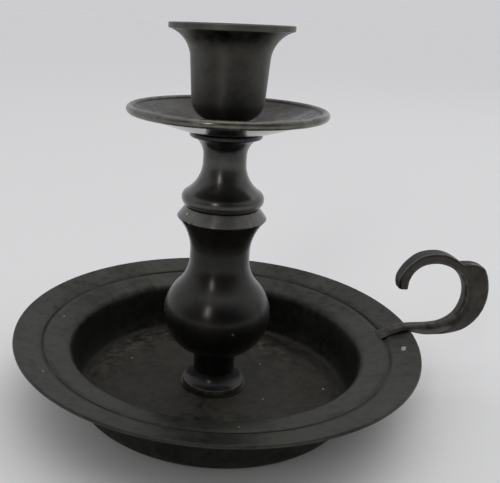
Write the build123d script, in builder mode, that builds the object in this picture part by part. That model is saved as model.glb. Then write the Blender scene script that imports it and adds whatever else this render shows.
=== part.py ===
from build123d import *
import os
from math import atan2, cos, degrees, hypot, radians, sin, sqrt

# Chamberstick with a finger loop: a spun brass pan, a turned stem in two lengths, a drip plate,
# a candle cup and a cast handle. Millimetres. The stem stands on +Z over the origin, the pan
# rests on Z = 0 and the handle points along +X.

# Working clearances
overrun = 1.0
thread_clearance = 0.1
hole_clearance = 0.3
braze_gap = 0.05

# Pan: sheet brass, spun with a stepped floor, a near upright wall and a wide sloping rim
sheet = 1.2
wall_foot_radius = 53.4
wall_top_radius = 56.1
shoulder_height = 19.9
rim_width = 19.9
rim_rise = 5.2
base_round = 3.5
shoulder_round = 2.6
stand_width = 5.5
floor_lift = 0.5
step_run = 1.2
step_round = 0.5
groove_share = 0.48
groove_width = 2.6
groove_depth_share = 0.24
groove_round = 0.6
rim_edge_round_share = 0.33

# Recess pressed up in the pan's floor, which takes the fixing screw's head and washer
boss_radius = 5.5
boss_draft = 0.6
boss_rise = 3.0
boss_round = 0.4

# Fixing screw, its washer, and the washer that the stem stands on
screw_radius = 2.4
screw_length = 15.0
screw_head_radius = 4.0
screw_head_height = 2.0
screw_slot_width = 1.1
screw_slot_depth = 0.9
screw_end_room = 2.0
washer_radius = 5.0
washer_thickness = 0.8
seat_washer_edge = 0.8
seat_washer_thickness = 0.5

# Lower stem: foot collar, neck, belly, throat and a bevelled cap, from the bottom up
foot_radius = 11.9
foot_edge_height = 2.0
cove_height = 4.4
neck_radius = 8.0
neck_length = 8.1
belly_radius = 20.2
belly_curve = 16.2
throat_radius = 11.05
throat_curve = 15.5
throat_length = 2.3
flare_height = 13.2
cap_radius = 16.3
cap_height = 4.0
cap_top_radius = 13.3
cap_round = 0.25

# Upper stem: a rounded base, a waist and a thin lip under the plate
shoulder_radius = 14.9
nose_curve = 3.0
waist_radius = 7.75
waist_rise = 13.1
waist_length = 2.5
collar_flare_height = 6.3
collar_flare_radius = 11.4
lip_radius = 12.9
lip_thickness = 2.2
lip_round_share = 0.44
stem_spigot_radius = 4.0
stem_spigot_length = 10.0
spigot_end_room = 1.5

# Drip plate: a shallow dish with a rolled bead
plate_radius = 35.0
plate_thickness = 1.6
plate_rise = 6.2
plate_flat_width = 2.1
plate_round = 25.0
bead_radius = 1.25

# Candle cup: a bored socket with a trumpet mouth, on a spigot that holds the plate down
candle_bore = 11.3
candle_depth = 26.0
cup_wall = 1.45
cup_wall_draft = 0.85
cup_wall_height = 13.5
cup_foot_radius = 6.0
cup_foot_height = 2.0
cup_bottom_curve = 7.4
cup_floor_round = 2.0
mouth_reach = 7.6
mouth_rise = 9.2
mouth_edge = 1.8
mouth_land = 1.5
mouth_round = 0.3
cup_spigot_radius = 3.0
cup_spigot_length = 12.0

# Handle: a cast scroll on a fan-shaped palm, with a leaf behind the finger loop
loop_radius = 12.5
loop_offset = 6.5
arm_thickness = 2.3
arm_width = 5.6
scroll_thickness = 4.4
leaf_curve = 17.5
leaf_shift = 4.1
leaf_lift = 0.8
leaf_width = 4.6
leaf_lip = 1.2
leaf_corner_round = 2.2
leaf_bevel = 0.8
leaf_start_angle = -100
leaf_tip_angle = 36
leaf_root_angle = 50
palm_length = 12.8
palm_width = 7.8
palm_bed = 0.4

# Rivets that hold the palm on the rim, filed flush on top and headed below
rivet_shares = (0.2, 0.53)
rivet_radius = 1.1
rivet_clearance = 0.05
rivet_head_radius = 1.9
rivet_head_height = 0.9
rivet_head_round = 0.6

# Heights of the seats, one piece standing on the next
floor_top = floor_lift + sheet
boss_under = floor_lift + boss_rise
foot_z = floor_top + seat_washer_thickness
recess_radius = boss_radius + boss_draft + sheet + boss_round + hole_clearance
recess_depth = boss_rise - seat_washer_thickness + hole_clearance
screw_hole_radius = screw_radius + hole_clearance

# The belly is one arc, met at the neck and tangent to the throat's arc above it
belly_centre = belly_radius - belly_curve
neck_z = foot_z + foot_edge_height + cove_height
belly_foot_z = neck_z + neck_length
belly_z = belly_foot_z + sqrt(belly_curve**2 - (neck_radius - belly_centre) ** 2)
throat_centre = throat_radius + throat_curve
throat_reach = throat_centre - belly_centre
throat_z = belly_z + sqrt((belly_curve + throat_curve) ** 2 - throat_reach**2)
belly_end_share = belly_curve / (belly_curve + throat_curve)
belly_end_z = belly_z + (throat_z - belly_z) * belly_end_share
belly_end = (belly_centre + throat_reach * belly_end_share, belly_end_z)
flare_z = throat_z + throat_length
cap_z = flare_z + flare_height
seam_z = cap_z + cap_height

# The upper stem's rounded base is tangent to the hollow curve that runs up to the waist
nose_centre = shoulder_radius - nose_curve
nose_z = seam_z + nose_curve
waist_z = nose_z + waist_rise
hollow_step = waist_radius - nose_centre
hollow_square = hollow_step**2 + waist_rise**2 - nose_curve**2
hollow_curve = hollow_square / (2 * (nose_curve - hollow_step))
nose_end_share = nose_curve / (nose_curve + hollow_curve)
nose_end_radius = nose_centre + (hollow_step + hollow_curve) * nose_end_share
nose_end = (nose_end_radius, nose_z + waist_rise * nose_end_share)
collar_z = waist_z + waist_length
lip_z = collar_z + collar_flare_height
plate_z = lip_z + lip_thickness

# The cup stands in the plate
cup_z = plate_z + plate_thickness
cup_waist_radius = candle_bore + cup_wall
cup_bottom_centre = cup_waist_radius - cup_bottom_curve
cup_foot_top = cup_z + cup_foot_height
cup_wall_z = cup_foot_top + sqrt(cup_bottom_curve**2 - (cup_foot_radius - cup_bottom_centre) ** 2)
cup_wall_top = (cup_waist_radius + cup_wall_draft, cup_wall_z + cup_wall_height)
mouth_radius = cup_wall_top[0] + mouth_reach
mouth_z = cup_wall_top[1] + mouth_rise
cup_top_z = mouth_z + mouth_edge

# The rim's slope, along which the handle's palm lies
rim_radius = wall_top_radius + rim_width
rim_slope = atan2(rim_rise, rim_width)
rim_edge = (rim_radius - sheet * sin(rim_slope), shoulder_height + rim_rise + sheet * cos(rim_slope))


def on_rim(inward, height):
    """Point at a distance in from the rim's top edge and at a height square to the rim."""
    x = rim_edge[0] - inward * cos(rim_slope) - height * sin(rim_slope)
    z = rim_edge[1] - inward * sin(rim_slope) + height * cos(rim_slope)
    return x, z


def rivet_plane(share, height):
    """Plane square to the rim at a rivet, a share of the palm in from the edge and at a height."""
    x, z = on_rim(palm_length * share, height)
    outward = (cos(rim_slope), 0, sin(rim_slope))
    upward = (-sin(rim_slope), 0, cos(rim_slope))
    return Plane((x, 0, z), x_dir=outward, z_dir=upward)


rivet_tops = [rivet_plane(share, arm_thickness + overrun) for share in rivet_shares]
rivet_seats = [rivet_plane(share, -sheet) for share in rivet_shares]
rivet_hole_radius = rivet_radius + rivet_clearance
rivet_hole_depth = arm_thickness + sheet + 2 * overrun

os.makedirs("parts", exist_ok=True)

# Pan: the sheet's underside as one run from the screw hole to the rim, thickened upwards
rim_run = hypot(rim_width, rim_rise)
groove_at = rim_run * groove_share
groove_half = groove_width / 2
groove_depth = groove_width * groove_depth_share


def under_rim(outward, depth):
    """Point on the rim's underside, at a distance out from the shoulder and a depth below it."""
    x = wall_top_radius + outward * cos(rim_slope) + depth * sin(rim_slope)
    z = shoulder_height + outward * sin(rim_slope) - depth * cos(rim_slope)
    return x, z


with BuildPart() as pan:
    with BuildSketch(Plane.XZ):
        with BuildLine():
            FilletPolyline(
                (screw_hole_radius, boss_under),
                (boss_radius, boss_under),
                (boss_radius + boss_draft, floor_lift),
                (wall_foot_radius - stand_width - step_run, floor_lift),
                (wall_foot_radius - stand_width, 0),
                (wall_foot_radius, 0),
                (wall_top_radius, shoulder_height),
                under_rim(groove_at - groove_half, 0),
                under_rim(groove_at, groove_depth),
                under_rim(groove_at + groove_half, 0),
                under_rim(rim_run, 0),
                radius=[
                    boss_round,
                    sheet + boss_round,
                    step_round,
                    sheet + step_round,
                    base_round,
                    shoulder_round,
                    groove_round,
                    sheet + groove_round,
                    groove_round,
                ],
            )
            offset(amount=sheet, side=Side.LEFT)
        make_face()
    revolve(axis=Axis.Z)
    rim_corners = pan.edges().filter_by(GeomType.CIRCLE).sort_by(SortBy.RADIUS)[-2:]
    fillet(rim_corners, radius=sheet * rim_edge_round_share)
    with Locations(*rivet_tops):
        Hole(radius=rivet_hole_radius, depth=rivet_hole_depth)

pan.part.label = "pan"
export_step(pan.part, "parts/pan.step")

# Seat washer: a thin ring between the pan's floor and the stem's foot
with BuildPart() as seat_washer:
    with BuildSketch(Plane.XY.offset(floor_top)):
        Circle(foot_radius + seat_washer_edge)
        Circle(recess_radius, mode=Mode.SUBTRACT)
    extrude(amount=seat_washer_thickness)

seat_washer.part.label = "seat_washer"
export_step(seat_washer.part, "parts/seat_washer.step")

# Base washer: a plain washer in the recess under the pan
with BuildPart() as base_washer:
    with BuildSketch(Plane.XY.offset(boss_under - washer_thickness)):
        Circle(washer_radius)
        Circle(screw_hole_radius, mode=Mode.SUBTRACT)
    extrude(amount=washer_thickness)

base_washer.part.label = "base_washer"
export_step(base_washer.part, "parts/base_washer.step")

# Base screw: a slotted cheese-head screw that pulls the stem down on the pan
screw_seat = boss_under - washer_thickness
with BuildPart() as base_screw:
    with BuildSketch(Plane.XY.offset(screw_seat - screw_head_height)):
        Circle(screw_head_radius)
    extrude(amount=screw_head_height)
    with BuildSketch(Plane.XY.offset(screw_seat)):
        Circle(screw_radius)
    extrude(amount=screw_length)
    with BuildSketch(Plane.XY.offset(screw_seat - screw_head_height)):
        Rectangle(2 * screw_head_radius + overrun, screw_slot_width)
    extrude(amount=screw_slot_depth, mode=Mode.SUBTRACT)

base_screw.part.label = "base_screw"
export_step(base_screw.part, "parts/base_screw.step")

# Lower stem: turned in one piece, hollowed under the foot over the pan's raised boss
screw_hole_depth = screw_seat + screw_length + screw_end_room - foot_z
stem_socket_depth = stem_spigot_length + spigot_end_room
with BuildPart() as lower_stem:
    with BuildSketch(Plane.XZ):
        with BuildLine():
            Line((0, foot_z), (foot_radius, foot_z))
            Line((foot_radius, foot_z), (foot_radius, foot_z + foot_edge_height))
            TangentArc((neck_radius, neck_z), (foot_radius, foot_z + foot_edge_height), tangent=(0, -1))
            Line((neck_radius, neck_z), (neck_radius, belly_foot_z))
            ThreePointArc((neck_radius, belly_foot_z), (belly_radius, belly_z), belly_end)
            TangentArc((throat_radius, throat_z), belly_end, tangent=(0, -1))
            Line((throat_radius, throat_z), (throat_radius, flare_z))
            TangentArc((throat_radius, flare_z), (cap_radius, cap_z), tangent=(0, 1))
            Line((cap_radius, cap_z), (cap_top_radius, seam_z))
            Line((cap_top_radius, seam_z), (0, seam_z))
            Line((0, seam_z), (0, foot_z))
        make_face()
    revolve(axis=Axis.Z)
    circles = lower_stem.edges().filter_by(GeomType.CIRCLE)
    fillet(circles.sort_by_distance((cap_radius, 0, cap_z))[0], radius=cap_round)
    with Locations(Plane((0, 0, foot_z), z_dir=(0, 0, -1))):
        Hole(radius=recess_radius, depth=recess_depth)
        Hole(radius=screw_radius + thread_clearance, depth=screw_hole_depth)
    with Locations((0, 0, seam_z)):
        Hole(radius=stem_spigot_radius + thread_clearance, depth=stem_socket_depth)

lower_stem.part.label = "lower_stem"
export_step(lower_stem.part, "parts/lower_stem.step")

# Upper stem: turned, with a threaded spigot below and a tapped hole above
cup_socket_depth = cup_spigot_length - plate_thickness + spigot_end_room
with BuildPart() as upper_stem:
    with BuildSketch(Plane.XZ):
        with BuildLine():
            Line((0, seam_z), (nose_centre, seam_z))
            TangentArc((nose_centre, seam_z), nose_end, tangent=(1, 0))
            TangentArc((waist_radius, waist_z), nose_end, tangent=(0, -1))
            Line((waist_radius, waist_z), (waist_radius, collar_z))
            TangentArc((waist_radius, collar_z), (collar_flare_radius, lip_z), tangent=(0, 1))
            Line((collar_flare_radius, lip_z), (lip_radius, lip_z))
            Line((lip_radius, lip_z), (lip_radius, plate_z))
            Line((lip_radius, plate_z), (0, plate_z))
            Line((0, plate_z), (0, seam_z))
        make_face()
    revolve(axis=Axis.Z)
    circles = upper_stem.edges().filter_by(GeomType.CIRCLE)
    lip_corners = circles.sort_by_distance((lip_radius, 0, lip_z + lip_thickness / 2))[:2]
    fillet(lip_corners, radius=lip_thickness * lip_round_share)
    with BuildSketch(Plane.XY.offset(seam_z - stem_spigot_length)):
        Circle(stem_spigot_radius)
    extrude(amount=stem_spigot_length)
    with Locations((0, 0, plate_z)):
        Hole(radius=cup_spigot_radius + thread_clearance, depth=cup_socket_depth)

upper_stem.part.label = "upper_stem"
export_step(upper_stem.part, "parts/upper_stem.step")

# Drip plate: the underside as one run out to the bead's middle, thickened upwards, and the bead
plate_flat_radius = lip_radius + plate_flat_width
bead_centre = plate_radius - bead_radius
plate_slope = atan2(plate_rise, bead_centre - plate_flat_radius)
plate_end = (bead_centre + plate_thickness / 2 * sin(plate_slope), plate_z + plate_rise)
bead_z = plate_end[1] + plate_thickness / 2 * cos(plate_slope)
with BuildPart() as drip_plate:
    with BuildSketch(Plane.XZ):
        with BuildLine():
            FilletPolyline(
                (cup_spigot_radius + thread_clearance, plate_z),
                (plate_flat_radius, plate_z),
                plate_end,
                radius=plate_round,
            )
            offset(amount=plate_thickness, side=Side.LEFT)
        make_face()
        with Locations((bead_centre, bead_z)):
            Circle(bead_radius)
    revolve(axis=Axis.Z)

drip_plate.part.label = "drip_plate"
export_step(drip_plate.part, "parts/drip_plate.step")

# Candle cup: turned outside and bored inside in one outline, with its spigot through the plate
bore_top = cup_wall_top[1]
candle_floor = cup_top_z - candle_depth
wall_lean = (cup_wall_draft, cup_wall_height)
with BuildPart() as candle_cup:
    with BuildSketch(Plane.XZ):
        with BuildLine():
            Line((0, cup_z - cup_spigot_length), (cup_spigot_radius, cup_z - cup_spigot_length))
            Line((cup_spigot_radius, cup_z - cup_spigot_length), (cup_spigot_radius, cup_z))
            Line((cup_spigot_radius, cup_z), (cup_foot_radius, cup_z))
            Line((cup_foot_radius, cup_z), (cup_foot_radius, cup_foot_top))
            TangentArc((cup_waist_radius, cup_wall_z), (cup_foot_radius, cup_foot_top), tangent=(0, -1))
            Line((cup_waist_radius, cup_wall_z), cup_wall_top)
            TangentArc(cup_wall_top, (mouth_radius, mouth_z), tangent=wall_lean)
            Line((mouth_radius, mouth_z), (mouth_radius, cup_top_z))
            Line((mouth_radius, cup_top_z), (mouth_radius - mouth_land, cup_top_z))
            TangentArc((candle_bore, bore_top), (mouth_radius - mouth_land, cup_top_z), tangent=(0, 1))
            Line((candle_bore, bore_top), (candle_bore, candle_floor))
            Line((candle_bore, candle_floor), (0, candle_floor))
            Line((0, candle_floor), (0, cup_z - cup_spigot_length))
        make_face()
    revolve(axis=Axis.Z)
    circles = candle_cup.edges().filter_by(GeomType.CIRCLE)
    fillet(circles.sort_by_distance((candle_bore, 0, candle_floor))[0], radius=cup_floor_round)
    circles = candle_cup.edges().filter_by(GeomType.CIRCLE)
    mouth_corners = circles.sort_by_distance((mouth_radius, 0, mouth_z + mouth_edge / 2))[:2]
    fillet(mouth_corners, radius=mouth_round)

candle_cup.part.label = "candle_cup"
export_step(candle_cup.part, "parts/candle_cup.step")

# Handle: eight-sided sections, flattened on the rim and carried round the finger loop to the tip
arm_top = rim_edge[1] + arm_thickness
loop_x = rim_radius + loop_offset
loop_z = arm_top + loop_radius
inner_ridge_share = 0.05
outer_ridge_share = 0.4

# Palm stations: how far in from the rim's edge, the height above the rim, the width, the faces' width
palm_shares = [
    (1.0, 0.25, 1.0, 0.52),
    (0.78, 0.55, 0.77, 0.52),
    (0.5, 0.82, 0.68, 0.52),
    (0.15, 0.97, 0.68, 0.55),
]

# Scroll stations: angle round the loop, then shares of the loop's radius, the scroll's thickness and
# the arm's width, and of that width the shares that the inner and the outer face take
scroll_shares = [
    (-90, 1.0, 1.0, 1.0, 0.6, 0.5),
    (-65, 1.01, 1.0, 1.03, 0.58, 0.55),
    (-40, 1.03, 0.94, 1.05, 0.6, 0.7),
    (-15, 1.01, 0.92, 1.06, 0.7, 0.75),
    (10, 1.0, 0.9, 1.06, 0.78, 0.8),
    (35, 1.0, 0.86, 1.04, 0.8, 0.85),
    (60, 1.0, 0.84, 1.0, 0.75, 0.9),
    (85, 1.0, 1.0, 0.98, 0.62, 0.92),
    (110, 1.0, 1.05, 0.96, 0.6, 0.9),
    (130, 0.97, 0.98, 0.92, 0.6, 0.88),
    (148, 0.91, 1.0, 0.87, 0.6, 0.85),
    (159, 0.87, 0.96, 0.82, 0.6, 0.8),
    (172, 0.84, 0.7, 0.68, 0.6, 0.7),
]


def round_loop(angle, radius):
    """Point at an angle round the finger loop and a distance from its centre."""
    return loop_x + radius * cos(radians(angle)), loop_z + radius * sin(radians(angle))


def section_plane(x, z, turn):
    """Plane across the handle, its X axis turned to an angle in the XZ plane, out of the loop."""
    outward = (cos(radians(turn)), 0, sin(radians(turn)))
    along = (-sin(radians(turn)), 0, cos(radians(turn)))
    return Plane((x, 0, z), x_dir=outward, z_dir=along)


def section_corners(thickness, width, inner_share, outer_share):
    """Corners of the eight-sided section: an inner and an outer face and two ridged flanks."""
    half = thickness / 2
    side = width / 2
    flank = [
        (-half, side * inner_share),
        (half * inner_ridge_share, side),
        (half * outer_ridge_share, side),
        (half, side * outer_share),
    ]
    return [(u, -v) for u, v in flank] + flank[::-1]


# Each station is its plane and its corners
stations = []
for inward_share, height_share, width_share, face_share in palm_shares:
    height = arm_thickness * height_share
    spot = on_rim(palm_length * inward_share, (height - palm_bed) / 2)
    corners = section_corners(height + palm_bed, palm_width * width_share, face_share, face_share)
    stations.append((section_plane(*spot, degrees(rim_slope) - 90), corners))
for angle, reach_share, thickness_share, width_share, inner_share, outer_share in scroll_shares:
    thickness = scroll_thickness * thickness_share
    spot = round_loop(angle, loop_radius * reach_share + thickness / 2)
    corners = section_corners(thickness, arm_width * width_share, inner_share, outer_share)
    stations.append((section_plane(*spot, angle), corners))

# Leaf: fills out the back of the loop, bevelled to its edge, with a rounded top corner for the thumb
leaf_seat = loop_radius + scroll_thickness / 2


def round_leaf(angle):
    """Point at an angle on the leaf's outer edge, an arc off the loop's centre."""
    x = loop_x + leaf_shift + leaf_curve * cos(radians(angle))
    return x, loop_z + leaf_lift + leaf_curve * sin(radians(angle))


leaf_tip = round_leaf(leaf_tip_angle)
with BuildPart() as leaf:
    with BuildSketch(Plane.XZ) as leaf_outline:
        with BuildLine():
            ThreePointArc(round_leaf(leaf_start_angle), round_leaf(0), leaf_tip)
            SagittaArc(leaf_tip, round_loop(leaf_root_angle, leaf_seat), -leaf_lip)
            ThreePointArc(
                round_loop(leaf_root_angle, leaf_seat),
                round_loop(0, leaf_seat),
                round_loop(leaf_start_angle, leaf_seat),
            )
            Line(round_loop(leaf_start_angle, leaf_seat), round_leaf(leaf_start_angle))
        make_face()
        fillet(leaf_outline.vertices().sort_by_distance(leaf_tip)[0], radius=leaf_corner_round)
    extrude(amount=leaf_width / 2, both=True)
    flanks = leaf.faces().filter_by(Axis.Y)
    chamfer([flank.edges().sort_by(Axis.X)[-1] for flank in flanks], length=leaf_bevel)

# The casting before it is drilled: scroll and leaf, with the palm bedded on the rim's cone
with BuildPart() as casting:
    for plane, corners in stations:
        with BuildSketch(plane):
            Polygon(*corners, align=None)
    loft()
    add(leaf.part)
    with BuildSketch(Plane.XZ):
        Polygon(
            on_rim(-braze_gap, braze_gap),
            on_rim(palm_length + overrun, braze_gap),
            on_rim(palm_length + overrun, -palm_width),
            on_rim(-braze_gap, -palm_width),
            align=None,
        )
    revolve(axis=Axis.Z, mode=Mode.SUBTRACT)

with BuildPart() as handle:
    add(casting.part)
    with Locations(*rivet_tops):
        Hole(radius=rivet_hole_radius, depth=rivet_hole_depth)

handle.part.label = "handle"
export_step(handle.part, "parts/handle.step")

# Handle rivets: each shank ends in the palm's own top surface and is headed under the rim
with BuildPart() as handle_rivets:
    for seat in rivet_seats:
        with BuildSketch(seat):
            Circle(rivet_radius)
    extrude(amount=sheet + arm_thickness)
    add(casting.part, mode=Mode.INTERSECT)
    for seat in rivet_seats:
        with BuildSketch(seat):
            Circle(rivet_radius)
    extrude(amount=sheet + palm_bed)
    for seat in rivet_seats:
        with BuildSketch(seat):
            Circle(rivet_head_radius)
    extrude(amount=-rivet_head_height)
    head_circles = handle_rivets.edges().filter_by(GeomType.CIRCLE).group_by(SortBy.RADIUS)[-1]
    rivet_axis = Axis(rivet_seats[0].origin, rivet_seats[0].z_dir)
    fillet(head_circles.group_by(rivet_axis)[0], radius=rivet_head_round)

handle_rivets.part.label = "handle_rivets"
export_step(handle_rivets.part, "parts/handle_rivets.step")
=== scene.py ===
import bpy
import numpy as np
from mathutils import Matrix, Vector


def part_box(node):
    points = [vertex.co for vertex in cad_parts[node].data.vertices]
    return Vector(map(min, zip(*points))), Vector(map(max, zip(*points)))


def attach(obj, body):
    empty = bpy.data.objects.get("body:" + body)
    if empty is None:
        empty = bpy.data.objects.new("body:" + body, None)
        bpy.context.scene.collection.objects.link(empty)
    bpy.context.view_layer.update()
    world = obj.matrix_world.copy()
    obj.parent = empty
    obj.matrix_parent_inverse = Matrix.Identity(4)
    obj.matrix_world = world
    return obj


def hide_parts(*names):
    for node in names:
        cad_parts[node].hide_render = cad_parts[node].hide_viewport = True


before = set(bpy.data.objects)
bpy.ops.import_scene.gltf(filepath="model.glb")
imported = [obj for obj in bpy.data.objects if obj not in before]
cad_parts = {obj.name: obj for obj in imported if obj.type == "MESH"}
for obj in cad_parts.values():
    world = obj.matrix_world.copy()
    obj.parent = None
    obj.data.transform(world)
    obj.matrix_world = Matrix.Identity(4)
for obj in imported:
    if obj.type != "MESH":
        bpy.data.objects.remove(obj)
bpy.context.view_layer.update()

# Pan: a disc of sheet brass spun over a former on the lathe, with a stepped floor, a near upright
# wall and a wide rim that slopes up and outwards round a soft groove. Its centre is pressed up into
# a boss, so that the fixing screw lies in a recess underneath.
MM = 0.001
sheet = 1.2 * MM
screw_hole = 2.7 * MM
boss_radius = 5.5 * MM
boss_draft = 0.6 * MM
boss_rise = 3.0 * MM
boss_round = 0.4 * MM
floor_lift = 0.5 * MM
stand_width = 5.5 * MM
step_run = 2.4 * MM
step_round = 1.4 * MM
base_round = 3.5 * MM
wall_foot = 53.4 * MM
wall_top = 56.1 * MM
shoulder_height = 19.9 * MM
shoulder_round = 2.6 * MM
rim_width = 19.9 * MM
rim_rise = 5.2 * MM
groove_share = 0.48
groove_width = 4.0 * MM
groove_depth = 0.9 * MM
groove_round = 1.0 * MM
rim_sway = 0.22 * MM
outline_step = 0.1 * MM
film_fade = 7.0 * MM
dust_spread = 26
dust_width = 5.0 * MM
wall_shade_from = 1.5 * MM
wall_shade_fade = 3.0 * MM
wall_shade_band = 4.0 * MM


def rounded(corners, count=24):
    """Line through corners of (radius, height, round). Each inner corner gives way to an arc of its
    round that touches both sides, round / tan(half the corner's angle) away from the corner. Each
    arc has count points."""
    corners = np.array(corners, float)
    runs = [corners[:1, :2]]
    for before, corner, after in zip(corners[:-2], corners[1:-1], corners[2:]):
        back = (before - corner)[:2] / np.linalg.norm((before - corner)[:2])
        on = (after - corner)[:2] / np.linalg.norm((after - corner)[:2])
        half = np.arccos(back @ on) / 2
        centre = corner[:2] + (back + on) / np.linalg.norm(back + on) * corner[2] / np.sin(half)
        first = corner[:2] + back * corner[2] / np.tan(half) - centre
        last = corner[:2] + on * corner[2] / np.tan(half) - centre
        start = np.arctan2(first[1], first[0])
        swing = (np.arctan2(last[1], last[0]) - start + np.pi) % (2 * np.pi) - np.pi
        angle = start + swing * np.linspace(0, 1, count)
        runs.append(centre + corner[2] * np.column_stack([np.cos(angle), np.sin(angle)]))
    return np.vstack([*runs, corners[-1:, :2]])


def evenly(line, step):
    """The same line with points at equal steps, each found by its length along the line."""
    length = np.append(0, np.cumsum(np.linalg.norm(np.diff(line, axis=0), axis=1)))
    at = np.linspace(0, length[-1], int(length[-1] / step) + 2)
    return np.column_stack([np.interp(at, length, line[:, 0]), np.interp(at, length, line[:, 1])])


def thickened(line, thickness):
    """The line moved to its left by a thickness, square to its own direction at each point."""
    along = np.gradient(line, axis=0)
    along /= np.linalg.norm(along, axis=1)[:, None]
    return line + thickness * np.column_stack([-along[:, 1], along[:, 0]])


def smoothed(values, width, ring):
    """Weighted mean of neighbours under a bell curve, with width counted in points. A ring wraps
    round, and an open line is mirrored through its ends, so that they stay in place."""
    reach = int(4 * width) + 1
    bell = np.exp(-0.5 * (np.arange(-reach, reach + 1) / width) ** 2)
    if ring:
        padded = np.concatenate([values[-reach:], values, values[:reach]])
    else:
        head = 2 * values[0] - values[reach:0:-1]
        tail = 2 * values[-1] - values[-2:-reach - 2:-1]
        padded = np.concatenate([head, values, tail])
    return np.convolve(padded, bell / bell.sum(), "valid")


def turned(outline, ring=False, ease=0.14 * MM, reach=1.8 * MM, turns=256):
    """Surface of revolution: each outline point goes to (radius cos turn, radius sin turn, height).
    A ring's outline closes on itself; any other starts and ends on the axis, in a pole. Corners
    are eased, and rows lie at most reach apart and closer where the outline bends. Gives points,
    faces and the edge value, tanh(bend * worn_round) spread over worn_width, which is near 1 on
    sharp outer edges and near -1 in sharp inner corners."""
    step = 0.05 * MM
    worn_round = 0.6 * MM
    worn_width = 0.35 * MM
    row_bend = np.radians(7)
    fine = evenly(np.vstack([outline, outline[:1]]) if ring else outline, step)
    fine = fine[:-1] if ring else fine
    fine = np.column_stack([smoothed(fine[:, 0], ease / step, ring), smoothed(fine[:, 1], ease / step, ring)])
    ahead = np.roll(fine, -1, 0) - np.roll(fine, 1, 0)
    if not ring:
        ahead[0], ahead[-1] = fine[1] - fine[0], fine[-1] - fine[-2]
    bend = np.gradient(np.unwrap(np.arctan2(ahead[:, 1], ahead[:, 0]))) / step
    edge = smoothed(np.tanh(bend * worn_round), worn_width / step, ring)
    count = np.cumsum(step / reach + np.abs(bend) * step / row_bend)
    at = np.linspace(count[0], count[-1], int(count[-1]) + 2)
    at = at[:-1] if ring else at
    radius, height, edge = (np.interp(at, count, column) for column in (fine[:, 0], fine[:, 1], edge))
    if not ring:
        bottom, top = height[0], height[-1]
        radius, height, edge = radius[1:-1], height[1:-1], edge[1:-1]
    turn = np.linspace(0, 2 * np.pi, turns, endpoint=False)
    flat = radius[:, None] * np.ones(turns)
    points = np.stack([flat * np.cos(turn), flat * np.sin(turn), height[:, None] * np.ones(turns)], -1)
    points = points.reshape(-1, 3)
    edge = np.repeat(edge, turns)
    index = np.arange(len(points)).reshape(-1, turns)
    low = index if ring else index[:-1]
    high = np.roll(index, -1, 0) if ring else index[1:]
    faces = np.stack([low, np.roll(low, -1, 1), np.roll(high, -1, 1), high], -1).reshape(-1, 4).tolist()
    if not ring:
        first, last = index[0], index[-1]
        poles = np.full(turns, len(points))
        faces += np.column_stack([poles, np.roll(first, -1), first]).tolist()
        faces += np.column_stack([poles + 1, last, np.roll(last, -1)]).tolist()
        points = np.vstack([points, [0, 0, bottom], [0, 0, top]])
        edge = np.append(edge, [0, 0])
    return points, faces, edge


def new_piece(name, points, faces, finish, **values):
    """A smooth-shaded piece at the origin, with each named value stored on its points."""
    mesh = bpy.data.meshes.new(name)
    mesh.from_pydata(points, [], faces)
    mesh.shade_smooth()
    for key, value in values.items():
        mesh.attributes.new(key, "FLOAT", "POINT").data.foreach_set("value", value.astype(np.float32))
    mesh.materials.append(finish)
    piece = bpy.data.objects.new(name, mesh)
    bpy.context.scene.collection.objects.link(piece)
    return piece


def linear(colour):
    """Linear RGBA of an sRGB hex colour: the dark end is divided by 12.92, the rest is a 2.4 power."""
    channel = np.array([int(colour[i:i + 2], 16) for i in (1, 3, 5)]) / 255
    return (*np.where(channel < 0.04045, channel / 12.92, ((channel + 0.055) / 1.055) ** 2.4), 1.0)


def add(tree, kind, inputs, **settings):
    """Adds a node with its settings. Each input takes a plain value or another node's output."""
    node = tree.nodes.new("ShaderNode" + kind)
    for key, value in settings.items():
        setattr(node, key, value)
    for key, value in inputs.items():
        if isinstance(value, bpy.types.NodeSocket):
            tree.links.new(value, node.inputs[key])
        else:
            node.inputs[key].default_value = value
    return node


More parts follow.
